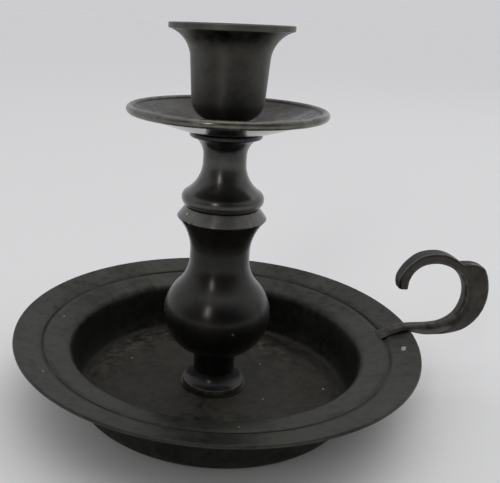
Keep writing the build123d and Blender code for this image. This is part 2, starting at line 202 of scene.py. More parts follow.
def patinated_brass(name, deep, body, worn_and_sheen, marks, mark_spacing, cloud_size, gloss, dent, grain,
                    metal=0.8, stretch=0.0, wax=0.0, rub=0.6, dirt=None, chips=()):
    """Brass under a dark brown-black patina: cloudy tone from deep to body, grime in fine patches, near-black
    patina in recesses and painted shade where a piece's edge value is pushed below zero, and paler metal
    rubbed through on edges, the same colour also painting sheen and highlight lines where a piece's edge
    value is pushed up. The patina is partly dull, so metal gives only that share of the shine. Tool marks
    run as rings about the axis or as bands along it; gloss is the range of roughness, dent the depth of the
    slow unevenness and grain that of the fine one. Marks too fine to draw stretch the highlights up and
    down the profile, and wax is the share of a thin glossy coat. Dirt is the colour of a dull film where
    the piece has one, which turns to pale dust where the film's value passes 1. Each chip of (x, y, z,
    size) in mm is a pale spot with a ragged edge."""
    grime_size = 3.5 * MM
    mark_depth = 0.006 * MM
    grease, dust, soot_and_shade, bare = "#15130e", "#625d51", "#0f0e0c", "#a9a69c"
    finish = bpy.data.materials.new(name)
    finish.use_nodes = True
    tree = finish.node_tree
    shader = tree.nodes["Principled BSDF"]
    shader.inputs["Metallic"].default_value = metal
    shader.inputs["Coat Weight"].default_value = wax
    shader.inputs["Coat Roughness"].default_value = 0.22
    shader.inputs["Anisotropic"].default_value = stretch
    shader.inputs["Anisotropic Rotation"].default_value = 0.25
    around = add(tree, "Tangent", {}, direction_type="RADIAL", axis="Z").outputs[0]
    tree.links.new(around, shader.inputs["Tangent"])
    place = add(tree, "TexCoord", {}).outputs["Object"]
    cloud = add(tree, "TexNoise", {"Vector": place, "Scale": 1 / cloud_size, "Detail": 4.0,
                                   "Roughness": 0.6}).outputs["Fac"]
    grime = add(tree, "TexNoise", {"Vector": place, "Scale": 1 / grime_size, "Detail": 6.0,
                                   "Roughness": 0.65}).outputs["Fac"]
    edge = add(tree, "Attribute", {}, attribute_name="edge").outputs["Fac"]

    mottle = add(tree, "Math", {0: grime, 1: 0.8, 2: cloud}, operation="MULTIPLY_ADD").outputs[0]
    tone = add(tree, "MapRange", {0: mottle, 1: 0.74, 2: 1.06}).outputs[0]
    colour = add(tree, "Mix", {0: tone, 6: linear(deep), 7: linear(body)}, data_type="RGBA").outputs[2]
    patchy = add(tree, "MapRange", {0: grime, 1: 0.5, 2: 0.72, 3: 0.0, 4: 0.5}).outputs[0]
    colour = add(tree, "Mix", {0: patchy, 6: colour, 7: linear(deep)}, data_type="RGBA").outputs[2]
    rough = add(tree, "MapRange", {0: cloud, 1: 0.3, 2: 0.7, 3: gloss[0], 4: gloss[1]}).outputs[0]
    if dirt:
        film = add(tree, "Attribute", {}, attribute_name="film").outputs["Fac"]
        thick = add(tree, "MapRange", {0: film, 1: 1.0, 2: 2.0}).outputs[0]
        blotch = add(tree, "MapRange", {0: mottle, 1: 0.7, 2: 1.1, 3: 0.2, 4: 1.0}).outputs[0]
        film = add(tree, "Math", {0: film, 1: blotch}, operation="MULTIPLY").outputs[0]
        dusty = add(tree, "MapRange", {0: grime, 1: 0.4, 2: 0.62}).outputs[0]
        thick = add(tree, "Math", {0: thick, 1: dusty}, operation="MULTIPLY").outputs[0]
        dusty = add(tree, "Mix", {0: dusty, 6: linear(grease), 7: linear(dirt)}, data_type="RGBA").outputs[2]
        dusty = add(tree, "Mix", {0: thick, 6: dusty, 7: linear(dust)}, data_type="RGBA").outputs[2]
        colour = add(tree, "Mix", {0: film, 6: colour, 7: dusty}, data_type="RGBA").outputs[2]
        rough = add(tree, "Mix", {0: film, 2: rough, 3: 0.75}).outputs[0]
        metal = add(tree, "MapRange", {0: film, 1: 0.0, 2: 1.0, 3: metal, 4: 0.1}).outputs[0]
        tree.links.new(metal, shader.inputs["Metallic"])
    rubbed = add(tree, "Math", {0: edge, 1: 1.4, 2: grime}, operation="MULTIPLY_ADD").outputs[0]
    rubbed = add(tree, "MapRange", {0: rubbed, 1: 0.75, 2: 1.5, 3: 0.0, 4: rub}).outputs[0]
    colour = add(tree, "Mix", {0: rubbed, 6: colour, 7: linear(worn_and_sheen)}, data_type="RGBA").outputs[2]
    # Unclamped, so that the deepest recesses and the strongest painted shade stay black where little grime is
    # packed
    recess_and_shade = add(tree, "MapRange", {0: edge, 1: -0.06, 2: -0.3}, clamp=False).outputs[0]
    packed = add(tree, "MapRange", {0: cloud, 1: 0.4, 2: 0.56, 3: 0.25, 4: 1.0}).outputs[0]
    recess_and_shade = add(tree, "Math", {0: recess_and_shade, 1: packed}, operation="MULTIPLY").outputs[0]
    colour = add(tree, "Mix", {0: recess_and_shade, 6: colour, 7: linear(soot_and_shade)}, data_type="RGBA").outputs[2]
    for *spot, size in np.array(chips).reshape(-1, 4) * MM:
        apart = add(tree, "VectorMath", {0: place, 1: spot}, operation="DISTANCE").outputs["Value"]
        ragged = add(tree, "Math", {0: grime, 1: size, 2: apart}, operation="MULTIPLY_ADD").outputs[0]
        chip = add(tree, "MapRange", {0: ragged, 1: 1.1 * size, 2: 1.4 * size, 3: 0.9, 4: 0.0}).outputs[0]
        colour = add(tree, "Mix", {0: chip, 6: colour, 7: linear(bare)}, data_type="RGBA").outputs[2]

    slow = add(tree, "Bump", {"Height": cloud, "Distance": dent}).outputs[0]
    fine = add(tree, "Bump", {"Height": grime, "Distance": grain, "Normal": slow}).outputs[0]
    # A wave texture repeats every 2 pi / 20 of its scaled coordinate
    wave = add(tree, "TexWave", {"Vector": place, "Scale": np.pi / 10 / mark_spacing, "Distortion": 0.6,
                                 "Detail": 2.0, "Detail Scale": 0.5},
               wave_type=marks, bands_direction="Z", rings_direction="Z").outputs["Fac"]
    tooled = add(tree, "Bump", {"Height": wave, "Distance": mark_depth, "Normal": fine}).outputs[0]
    tree.links.new(colour, shader.inputs["Base Color"])
    tree.links.new(rough, shader.inputs["Roughness"])
    tree.links.new(tooled, shader.inputs["Normal"])
    return finish


# Bare spots on the rim and in the well: x, y, z and size in mm
pan_chips = [
    (68.6, -15.0, 25.0, 1.1), (69.2, -13.7, 25.0, 1.1), (-60.0, 13.9, 22.6, 0.5),
    (-60.6, -33.0, 24.5, 0.5), (2.2, -61.3, 22.5, 0.5), (43.2, -5.2, 1.7, 0.6),
    (-32.7, 18.0, 1.7, 0.5), (21.0, 14.1, 1.7, 0.4), (18.2, -12.7, 1.7, 0.4),
]
# Spun sheet goes satin and cloudy with age, so the eye sees broad soft patches and faint rings. The
# rings of the spinning tool are finer than this on the real pan, and are drawn 1.4 mm apart to show.
spun_brass = patinated_brass("patinated spun brass", deep="#2a2a25", body="#4a4a44", worn_and_sheen="#5a5951",
                             marks="RINGS", mark_spacing=1.4 * MM, cloud_size=26 * MM, gloss=(0.36, 0.56),
                             dent=0.25 * MM, grain=0.05 * MM, stretch=0.3, rub=0.2, dirt="#363024",
                             chips=pan_chips)

rim_out = np.array([rim_width, rim_rise]) / np.hypot(rim_width, rim_rise)
rim_down = np.array([rim_out[1], -rim_out[0]])
rim_run = np.hypot(rim_width, rim_rise)
shoulder = np.array([wall_top, shoulder_height])
groove_start, groove_mid, groove_end = (
    shoulder + rim_run * groove_share * rim_out + out * rim_out + down * rim_down
    for out, down in ((-groove_width / 2, 0), (0, groove_depth), (groove_width / 2, 0)))
underside = evenly(rounded([
    (screw_hole, floor_lift + boss_rise, 0),
    (boss_radius, floor_lift + boss_rise, boss_round),
    (boss_radius + boss_draft, floor_lift, sheet + boss_round),
    (wall_foot - stand_width - step_run, floor_lift, step_round),
    (wall_foot - stand_width, 0, sheet + step_round),
    (wall_foot, 0, base_round),
    (wall_top, shoulder_height, shoulder_round),
    (*groove_start, groove_round),
    (*groove_mid, sheet + groove_round),
    (*groove_end, groove_round),
    (*(shoulder + rim_run * rim_out), 0),
]), outline_step)
pan_outline = np.vstack([underside, thickened(underside, sheet)[::-1]])
points, faces, edge = turned(pan_outline, ring=True, ease=0.2 * MM)

# Age has left the rim slightly out of true, and a film of wax and dust lies in the well
away = np.hypot(points[:, 0], points[:, 1])
turn = np.arctan2(points[:, 1], points[:, 0])
sway = np.sin(2 * turn) + 0.6 * np.sin(3 * turn)
points[:, 2] += rim_sway * sway * np.clip((away - wall_top) / rim_width, 0, 1)
in_well = (points[:, 2] > floor_lift + sheet / 2) & (away > boss_radius * 1.6)
film = in_well * np.clip(1.3 - points[:, 2] / film_fade, 0, 1) * (away < wall_top)
# Dust has gathered along the wall's foot on the far side from the handle, and a little behind the stem
for dust_turn, dust_away, strength in ((140, 46 * MM, 0.7), (55, 38 * MM, 0.5)):
    round_off = (np.degrees(turn) - dust_turn) / dust_spread
    out_off = (away - dust_away) / dust_width
    film += strength * in_well * (away < wall_foot) * np.exp(-round_off**2 - out_off**2)
# The upright wall, inside and out, is painted darker: a painted shade
wall_shade = np.clip((points[:, 2] - wall_shade_from) / wall_shade_fade, 0, 1)
wall_shade *= np.clip((shoulder_height - points[:, 2]) / wall_shade_fade, 0, 1)
edge = np.minimum(edge, -0.2 * wall_shade * (away > wall_foot - wall_shade_band))
pan = new_piece("brass_pan", points, faces, spun_brass, edge=edge, film=film)
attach(pan, "root")
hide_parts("pan")

# Washers and fixing screw: a thin ring shows round the stem's foot, and below the pan a washer and a
# slotted screw pull the stem down. They are plain cut brass with little patina, and their tool marks
# are drawn 1 mm apart, coarser than real ones, so that they show.
cut_brass = patinated_brass("tarnished cut brass", deep="#38342c", body="#524c41", worn_and_sheen="#6a6353",
                            marks="RINGS", mark_spacing=1.0 * MM, cloud_size=9 * MM, gloss=(0.32, 0.5),
                            dent=0.02 * MM, grain=0.02 * MM)
for node in ("seat_washer", "base_washer", "base_screw"):
    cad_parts[node].data.materials.clear()
    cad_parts[node].data.materials.append(cut_brass)

# Lower stem: solid brass turned in one length, with a foot collar, a neck, a belly, a throat and a
# bevelled cap. It is hollowed under the foot for the pan's boss and drilled for the fixing screw.
foot_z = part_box("lower_stem")[0].z
foot_radius = 11.9 * MM
foot_edge = 2.0 * MM
cove_height = 4.4 * MM
recess_radius = 8.0 * MM
recess_depth = 2.8 * MM
fixing_hole = 2.5 * MM
fixing_depth = 17.5 * MM
neck_radius = 8.0 * MM
neck_length = 8.1 * MM
belly_radius = 20.2 * MM
belly_curve = 16.2 * MM
throat_radius = 11.05 * MM
throat_curve = 15.5 * MM
throat_length = 2.3 * MM
flare_height = 13.2 * MM
cap_radius = 16.3 * MM
cap_height = 4.0 * MM
cap_top = 13.3 * MM
stem_socket = 4.1 * MM
stem_socket_depth = 11.5 * MM
stem_shade_drop = 1.0 * MM
stem_shade_fade = 6.0 * MM


def sweep(start, heading, end, count=90):
    """Arc of count points that leaves start along a heading and ends at end. Its centre lies square
    to the heading, chord squared / (2 * the chord's part square to the heading) away, as far from
    both ends."""
    start, end = np.array(start), np.array(end)
    square = np.array([-heading[1], heading[0]]) / np.hypot(*heading)
    chord = end - start
    radius = chord @ chord / (2 * chord @ square)
    first, last = -radius * square, chord - radius * square
    angle = np.arctan2(first[1], first[0])
    swing = (np.arctan2(last[1], last[0]) - angle) % (2 * np.pi) - (0 if radius > 0 else 2 * np.pi)
    angle = angle + swing * np.linspace(0, 1, count)
    return start + radius * square + abs(radius) * np.column_stack([np.cos(angle), np.sin(angle)])


def nicked(points, nicks):
    """Knocks from use. Each nick of (turn, radius, height, size, depth) draws points in towards the
    axis by depth * exp(-(distance / size) squared)."""
    points = points.copy()
    for turn, radius, height, size, depth in nicks:
        spot = radius * np.cos(np.radians(turn)), radius * np.sin(np.radians(turn)), height
        pull = depth * np.exp(-((points - spot) ** 2).sum(1) / size**2)
        points[:, :2] *= 1 - (pull / np.maximum(np.hypot(points[:, 0], points[:, 1]), size))[:, None]
    return points


# Bare spots on the belly and the cap's edge: x, y, z and size in mm
stem_chips = [(4.2, -19.7, 32.1, 0.6), (-13.0, -6.4, 72.5, 0.7)]
# Turned brass is smoother than the pan: tight highlights that the lathe's marks stretch up and down.
# The marks are drawn 0.9 mm apart, coarser than real ones, so that they show.
# Its rubbed-metal colour is pale because it also paints the sheen on the cap's bevel
black_brass = patinated_brass("black patinated turned brass", deep="#242220", body="#312f2b",
                              worn_and_sheen="#757470", marks="BANDS", mark_spacing=0.9 * MM, cloud_size=15 * MM,
                              gloss=(0.3, 0.4), dent=0.06 * MM, grain=0.025 * MM, stretch=0.6, wax=0.4,
                              rub=0.85, dirt="#2c2a25", chips=stem_chips)

neck_z = foot_z + foot_edge + cove_height
belly_foot = np.array([neck_radius, neck_z + neck_length])
belly_axis = belly_radius - belly_curve
belly_z = belly_foot[1] + np.sqrt(belly_curve**2 - (neck_radius - belly_axis) ** 2)
throat_reach = throat_radius + throat_curve - belly_axis
throat_z = belly_z + np.sqrt((belly_curve + throat_curve) ** 2 - throat_reach**2)
belly_end = np.array([belly_axis, belly_z]) + np.array([throat_reach, throat_z - belly_z]) * (
    belly_curve / (belly_curve + throat_curve))
flare_z = throat_z + throat_length
cap_z = flare_z + flare_height
seam_z = cap_z + cap_height
lower_outline = np.vstack([
    [(0, foot_z + fixing_depth), (fixing_hole, foot_z + fixing_depth), (fixing_hole, foot_z + recess_depth),
     (recess_radius, foot_z + recess_depth), (recess_radius, foot_z), (foot_radius, foot_z)],
    sweep((neck_radius, neck_z), (0, -1), (foot_radius, foot_z + foot_edge))[::-1],
    sweep(belly_foot, (belly_z - belly_foot[1], neck_radius - belly_axis), belly_end),
    sweep((throat_radius, throat_z), (0, -1), belly_end)[::-1],
    sweep((throat_radius, flare_z), (0, 1), (cap_radius, cap_z)),
    [(cap_top, seam_z), (stem_socket, seam_z), (stem_socket, seam_z - stem_socket_depth),
     (0, seam_z - stem_socket_depth)],
])
points, faces, edge = turned(lower_outline)
# The cap's bevel takes the rubbed-metal colour all over, a painted sheen where it faces the light from
# overhead
on_bevel = (points[:, 2] > cap_z) & (np.hypot(points[:, 0], points[:, 1]) > cap_top)
edge = np.where(on_bevel, np.maximum(edge, 0.6), edge)
points = nicked(points, [
    (-146, cap_radius, cap_z, 1.3 * MM, 0.55 * MM),
    (-135, cap_radius, cap_z, 0.9 * MM, 0.35 * MM),
    (-52, cap_radius, cap_z, 0.8 * MM, 0.25 * MM),
    (75, cap_radius, cap_z, 1.1 * MM, 0.4 * MM),
    (-72, 15.5 * MM, belly_foot[1] + 4 * MM, 0.9 * MM, 0.3 * MM),
])
# Painted shade darkens its throat, all below the belly's widest part (less on the neck) and the foot's
# side, and the foot's cove has a dull film
height = points[:, 2]
stem_shade = 0.3 * np.clip((belly_z - stem_shade_drop - height) / stem_shade_fade, 0, 1) * np.where(height < neck_z, 0.5, 1)
stem_shade += 0.14 * np.exp(-((height - throat_z) / stem_shade_fade) ** 2)
stem_shade = np.where(height < foot_z + 0.9 * foot_edge, 1.0, stem_shade)
edge = np.where(edge < 0.3, np.minimum(edge, -stem_shade), edge)
on_cove = (height > foot_z + 0.8 * foot_edge) & (height < neck_z)
lower_stem = new_piece("brass_lower_stem", points, faces, black_brass, edge=edge, film=0.9 * on_cove)
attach(lower_stem, "root")
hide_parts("lower_stem")

# Upper stem: solid turned brass with a rounded base, a waist and a thin lip under the plate. A
# threaded spigot screws it into the lower stem, and the cup's spigot screws into its top.
shoulder_radius = 14.9 * MM
nose_curve = 3.0 * MM
waist_radius = 7.75 * MM
waist_rise = 13.1 * MM
waist_length = 2.5 * MM
collar_rise = 6.3 * MM
collar_radius = 11.4 * MM
lip_radius = 12.9 * MM
lip_round = 0.8 * MM
stem_spigot = 4.0 * MM
stem_spigot_length = 10.0 * MM
cup_socket = 3.1 * MM
cup_socket_depth = 11.9 * MM

plate_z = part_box("upper_stem")[1].z
nose = np.array([shoulder_radius - nose_curve, seam_z + nose_curve])
waist_z = nose[1] + waist_rise
hollow_step = waist_radius - nose[0]
hollow_curve = (hollow_step**2 + waist_rise**2 - nose_curve**2) / (2 * (nose_curve - hollow_step))
nose_end = nose + (np.array([hollow_step + hollow_curve, waist_rise])
                   * nose_curve / (nose_curve + hollow_curve))
collar_z = waist_z + waist_length
lip_z = collar_z + collar_rise
upper_outline = np.vstack([
    [(0, seam_z - stem_spigot_length), (stem_spigot, seam_z - stem_spigot_length), (stem_spigot, seam_z)],
    sweep((nose[0], seam_z), (1, 0), nose_end),
    sweep((waist_radius, waist_z), (0, -1), nose_end)[::-1],
    sweep((waist_radius, collar_z), (0, 1), (collar_radius, lip_z)),
    rounded([(collar_radius, lip_z, 0), (lip_radius, lip_z, lip_round), (lip_radius, plate_z, lip_round),
             (cup_socket, plate_z, 0)]),
    [(cup_socket, plate_z - cup_socket_depth), (0, plate_z - cup_socket_depth)],
])
# Turned as the lower stem is and more handled, so its patina is thinner, paler and glossier
turned_brass = patinated_brass("patinated turned brass", deep="#3a3936", body="#504f4b", worn_and_sheen="#62615c",
                               marks="BANDS", mark_spacing=0.9 * MM, cloud_size=15 * MM, gloss=(0.3, 0.4),
                               dent=0.06 * MM, grain=0.025 * MM, stretch=0.6, wax=0.65, rub=0.3)
points, faces, edge = turned(upper_outline)
# Up towards the plate the stem is painted darker, a painted shade under the plate
plate_shade = np.clip((points[:, 2] - waist_z) / (0.7 * collar_rise), 0, 1)
edge = np.where(plate_shade > 0, np.minimum(edge, -0.3 * plate_shade), edge)
upper_stem = new_piece("brass_upper_stem", points, faces, turned_brass, edge=edge)
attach(upper_stem, "root")
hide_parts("upper_stem")

# Drip plate: a shallow dish of turned brass that catches wax, with a bead rolled round its edge. It
# lies on the upper stem's lip, held down by the candle cup.
plate_radius = 35.0 * MM
plate_thickness = 1.6 * MM
plate_rise = 6.2 * MM
plate_flat = 15.0 * MM
plate_round = 25.0 * MM
bead = 1.45 * MM

# A finely turned dish is smooth enough to mirror what lies below it where nothing has dulled it. The
# lathe's marks lie as rings, drawn 1.1 mm apart so that they show.
plate_brass = patinated_brass("patinated dished brass", deep="#2f2d28", body="#434039", worn_and_sheen="#8f8d84",
                              marks="RINGS", mark_spacing=1.1 * MM, cloud_size=15 * MM, gloss=(0.08, 0.14),
                              dent=0.06 * MM, grain=0.025 * MM, metal=0.9, stretch=0.3, wax=0.15, rub=0.7,
                              dirt="#4a463c")

bead_axis = plate_radius - bead
plate_slope = np.arctan2(plate_rise, bead_axis - plate_flat)
plate_end = np.array([bead_axis + plate_thickness / 2 * np.sin(plate_slope), plate_z + plate_rise])
bead_centre = np.array([bead_axis, plate_end[1] + plate_thickness / 2 * np.cos(plate_slope)])
dish_corners = [(cup_socket, plate_z, 0), (plate_flat, plate_z, plate_round), (*plate_end, 0)]
dish = evenly(rounded(dish_corners), outline_step)
dish_top = thickened(dish, plate_thickness)
outside = np.linalg.norm(dish - bead_centre, axis=1) > bead
outside_top = np.linalg.norm(dish_top - bead_centre, axis=1) > bead
leave, arrive = dish[outside][-1] - bead_centre, dish_top[outside_top][-1] - bead_centre
bead_start = np.arctan2(leave[1], leave[0])
bead_swing = (np.arctan2(arrive[1], arrive[0]) - bead_start) % (2 * np.pi)
bead_turn = bead_start + bead_swing * np.linspace(0, 1, 60)
plate_outline = np.vstack([
    dish[outside],
    bead_centre + bead * np.column_stack([np.cos(bead_turn), np.sin(bead_turn)]),
    dish_top[outside_top][::-1],
])
points, faces, edge = turned(plate_outline, ring=True, ease=0.12 * MM)
# Old wax has left its top dull, while the smooth underside is painted near black, a painted shade under the
# plate
on_top = np.arange(len(points)) > points[:, 2].argmax()
on_bead = np.clip(np.hypot(points[:, 0], points[:, 1]) / MM - (plate_radius - 2 * bead) / MM, 0, 1)
film = np.maximum(on_top, 0.4 * on_bead)
edge = np.where(on_top | (on_bead > 0), edge + 0.1 * on_bead, np.minimum(edge, -0.3))
drip_plate = new_piece("brass_drip_plate", points, faces, plate_brass, edge=edge, film=film)
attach(drip_plate, "root")
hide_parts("drip_plate")

# Candle cup: turned brass, bored for a candle, with a small foot, a rounded bottom and a trumpet
# mouth. Its spigot goes through the plate into the upper stem.
cup_z = plate_z + plate_thickness
cup_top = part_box("candle_cup")[1].z
cup_foot_radius = 6.0 * MM
cup_foot_height = 2.0 * MM
cup_bottom_curve = 7.4 * MM
cup_waist = 12.75 * MM
cup_wall_draft = 0.85 * MM
cup_wall_height = 13.5 * MM
mouth_reach = 7.6 * MM
mouth_rise = 9.2 * MM
mouth_land = 1.5 * MM
mouth_round = 0.3 * MM
candle_bore = 11.3 * MM
candle_depth = 26.0 * MM
candle_floor_round = 2.0 * MM
cup_spigot = 3.0 * MM
cup_spigot_length = 12.0 * MM
mouth_shade_reach = 6.0 * MM
mouth_fade = 3.0 * MM
mouth_clear = 0.1 * MM
bottom_shade_reach = 1.0 * MM
bottom_fade = 4.0 * MM

cup_foot_top = cup_z + cup_foot_height
bottom_run = cup_foot_radius - cup_waist + cup_bottom_curve
cup_wall_z = cup_foot_top + np.sqrt(cup_bottom_curve**2 - bottom_run**2)
wall_head = np.array([cup_waist + cup_wall_draft, cup_wall_z + cup_wall_height])
mouth = wall_head + np.array([mouth_reach, mouth_rise])
candle_floor = cup_top - candle_depth
cup_outline = np.vstack([
    [(0, cup_z - cup_spigot_length), (cup_spigot, cup_z - cup_spigot_length), (cup_spigot, cup_z),
     (cup_foot_radius, cup_z)],
    sweep((cup_waist, cup_wall_z), (0, -1), (cup_foot_radius, cup_foot_top))[::-1],
    sweep(wall_head, (cup_wall_draft, cup_wall_height), mouth),
    rounded([(*mouth, 0), (mouth[0], cup_top, mouth_round), (mouth[0] - mouth_land, cup_top, 0)]),
    sweep((candle_bore, wall_head[1]), (0, 1), (mouth[0] - mouth_land, cup_top))[::-1],
    rounded([(candle_bore, wall_head[1], 0), (candle_bore, candle_floor, candle_floor_round),
             (0, candle_floor, 0)]),
])
# Turned as the stem is, but dulled by heat and wax, so the eye sees a broad soft sheen on paler metal
cup_brass = patinated_brass("patinated bored brass", deep="#4a4944", body="#5e5d58", worn_and_sheen="#6c6b65",
                            marks="BANDS", mark_spacing=0.9 * MM, cloud_size=15 * MM, gloss=(0.48, 0.58),
                            dent=0.06 * MM, grain=0.025 * MM, metal=0.95, stretch=0.7, wax=0.1)
points, faces, edge = turned(cup_outline)
# Painted shade darkens the outside under the mouth and round the bottom
outside = np.arange(len(points)) < points[:, 2].argmax()
shade_under_mouth = np.clip((points[:, 2] - mouth[1] + mouth_shade_reach) / mouth_fade, 0, 1)
shade_under_mouth *= points[:, 2] < mouth[1] - mouth_clear
shade_round_bottom = np.clip((cup_wall_z + bottom_shade_reach - points[:, 2]) / bottom_fade, 0, 1)
edge = np.where(outside & (edge < 0.3), np.minimum(edge, -0.3 * shade_under_mouth - 0.12 * shade_round_bottom), edge)
candle_cup = new_piece("brass_candle_cup", points, faces, cup_brass, edge=edge)
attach(candle_cup, "root")
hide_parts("candle_cup")

# Handle: cast brass, filed by hand. A fan-shaped palm lies on the rim, the arm runs off the rim's edge
# and curls round the finger as a scroll with ridged flanks, and a bevelled leaf backs the loop.
loop_radius = 12.5 * MM
loop_offset = 6.5 * MM
arm_height = 2.3 * MM
arm_width = 5.6 * MM
scroll_thickness = 4.4 * MM
palm_length = 12.8 * MM
palm_width = 7.8 * MM
palm_bed = 0.3 * MM
leaf_width = 4.6 * MM
leaf_bevel = 0.8 * MM
leaf_rim = 3.0 * MM
tip_round = 0.9 * MM
tip_least = 0.12
inner_ridge = 0.3
outer_ridge = 0.6
palm_sink = 0.05 * MM
back_film = 0.5 * MM
inside_film = 1.8 * MM
ridge_rise = 0.3 * MM
arm_from, arm_to, arm_fade = -122, -50, 15
scroll_from = 20
leaf_from, leaf_to = 22, 45
row_count = 420
side_points = 7
leaf_points = 400

# Stations along the palm: distance in from the rim's edge, height, width, width of the faces, in shares
palm_shares = np.array([
    (1.0, 0.06, 1.0, 0.52),
    (0.78, 0.42, 0.8, 0.52),
    (0.5, 0.82, 0.68, 0.52),
    (0.15, 0.97, 0.68, 0.55),
])
# Stations round the loop: angle, then shares of loop radius, thickness, width, and the inner and outer face
scroll_shares = np.array([
    (-90, 1.0, 1.0, 1.0, 0.6, 0.5),
    (-65, 1.01, 1.0, 1.03, 0.58, 0.55),
    (-40, 1.03, 0.94, 1.05, 0.6, 0.7),
    (-15, 1.01, 0.92, 1.06, 0.7, 0.75),
    (10, 1.0, 0.9, 1.06, 0.78, 0.8),
    (35, 1.0, 0.86, 1.04, 0.8, 0.85),
    (60, 1.0, 0.84, 1.0, 0.75, 0.9),
    (85, 1.0, 1.0, 0.98, 0.62, 0.92),
    (110, 1.0, 1.05, 0.96, 0.6, 0.9),
    (130, 0.96, 1.01, 0.92, 0.6, 0.88),
    (148, 0.88, 1.09, 0.87, 0.6, 0.85),
    (159, 0.82, 1.1, 0.82, 0.6, 0.8),
    (172, 0.78, 0.87, 0.68, 0.6, 0.7),
])
# The leaf's edge: angle round the loop and distance from the loop's centre, in shares of its radius
leaf_shares = np.array([
    (-100, 1.3), (-88, 1.34), (-78, 1.37), (-69, 1.42), (-57, 1.51), (-45, 1.62), (-33, 1.69), (-21, 1.73),
    (-9, 1.745), (3, 1.75), (15, 1.75), (25, 1.755), (30, 1.745), (33, 1.71), (37, 1.655), (42, 1.56),
    (47, 1.44), (52, 1.33), (58, 1.2),
])


def through(rows, count):
    """Smooth curve through the rows of a table: between two rows the cubic whose slope at each is
    half the step between its neighbours."""
    slope = np.gradient(rows, axis=0)
    at = np.linspace(0, len(rows) - 1, count)
    row = np.minimum(at.astype(int), len(rows) - 2)
    share = (at - row)[:, None]
    start, end, rise, fall = rows[row], rows[row + 1], slope[row], slope[row + 1]
    return ((2 * share**3 - 3 * share**2 + 1) * start + (share**3 - 2 * share**2 + share) * rise
            + (3 * share**2 - 2 * share**3) * end + (share**3 - share**2) * fall)


rim_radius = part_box("pan")[1].x
rim_edge = shoulder + rim_run * rim_out - sheet * rim_down
rim_lean = np.degrees(np.arctan2(rim_rise, rim_width))
loop = np.array([rim_radius + loop_offset, rim_edge[1] + arm_height + loop_radius])

# Each row is x, z, the outward direction's angle, thickness, width and the shares of the two faces
palm_height = arm_height * palm_shares[:, 1]
palm_spots = (rim_edge - palm_length * palm_shares[:, :1] * rim_out
              - (palm_height - palm_bed)[:, None] / 2 * rim_down)
palm_rows = np.column_stack([palm_spots, np.full(len(palm_shares), rim_lean - 90), palm_height + palm_bed,
                             palm_width * palm_shares[:, 2], palm_shares[:, 3], palm_shares[:, 3]])
angle = np.radians(scroll_shares[:, 0])
thick = scroll_thickness * scroll_shares[:, 2]
middle = loop_radius * scroll_shares[:, 1] + thick / 2
scroll_rows = np.column_stack([loop[0] + middle * np.cos(angle), loop[1] + middle * np.sin(angle),
                               scroll_shares[:, 0], thick, arm_width * scroll_shares[:, 3],
                               scroll_shares[:, 4:]])
x, z, facing, thick, wide, inner, outer = through(np.vstack([palm_rows, scroll_rows]), row_count).T

# The section's corners on one flank run from the inner face over the two ridges to the leaf's edge
leaf = through(leaf_shares, leaf_points)
about_loop = np.degrees(np.arctan2(z - loop[1], x - loop[0]))
leaf_edge = loop_radius * np.interp(about_loop, leaf[:, 0], leaf[:, 1], left=0, right=0)
scroll_start = row_count * (len(palm_rows) - 0.6) / (len(palm_rows) + len(scroll_rows) - 1)
on_scroll = np.arange(row_count) > scroll_start
proud = np.hypot(x - loop[0], z - loop[1]) + thick / 2
leaf_reach = np.clip(leaf_edge - proud, 0, None) * on_scroll
half, side = thick / 2, wide / 2
grown = np.clip(leaf_reach / leaf_bevel, 0, 1)
root = side * ((1 - grown) * outer + 0.95 * grown)
web = (1 - grown) * 0.6 * side * outer + grown * leaf_width / 2
lip = (1 - grown) * 0.3 * side * outer + grown * leaf_rim / 2
flank = np.stack([
    np.stack([-half, side * inner], -1),
    np.stack([half * inner_ridge, side], -1),
    np.stack([half * outer_ridge, side], -1),
    np.stack([half, root], -1),
    np.stack([half + 0.1 * leaf_reach, 0.8 * root + 0.2 * web], -1),
    np.stack([half + leaf_reach - np.minimum(leaf_bevel, 0.8 * leaf_reach), web], -1),
    np.stack([half + leaf_reach, lip], -1),
], 1)
corners = np.concatenate([flank * (1, -1), flank[:, ::-1]], 1)

# Each side of the section is divided, its corners are eased, and the palm's end and the tip are rounded off
share = np.linspace(0, 1, side_points, endpoint=False)[:, None]
section = corners[:, :, None] * (1 - share) + np.roll(corners, -1, 1)[:, :, None] * share
section = section.reshape(row_count, -1, 2)
for _ in range(3):
    section = (np.roll(section, 1, 1) + 2 * section + np.roll(section, -1, 1)) / 4
back = np.clip(1 - (section[..., 0].max(1, keepdims=True) - section[..., 0]) / back_film, 0, 1)
inside = np.clip(1.2 - (section[..., 0] - section[..., 0].min(1, keepdims=True)) / inside_film, 0, 1)
film = np.maximum(back, inside)
across = np.roll(section, -4, 1) - np.roll(section, 4, 1)
outward = np.stack([across[..., 1], -across[..., 0]], -1)
outward /= np.maximum(np.linalg.norm(across, axis=2), 0.01 * MM)[..., None]
rise = section - (np.roll(section, -4, 1) + np.roll(section, 4, 1)) / 2
edge = np.clip((rise * outward).sum(2) / ridge_rise, -1, 1)
edge *= 0.3 * np.abs(edge)
on_arm = np.clip((arm_to - about_loop) / arm_fade, 0, 1) * np.clip((about_loop - arm_from) / arm_fade, 0, 1)
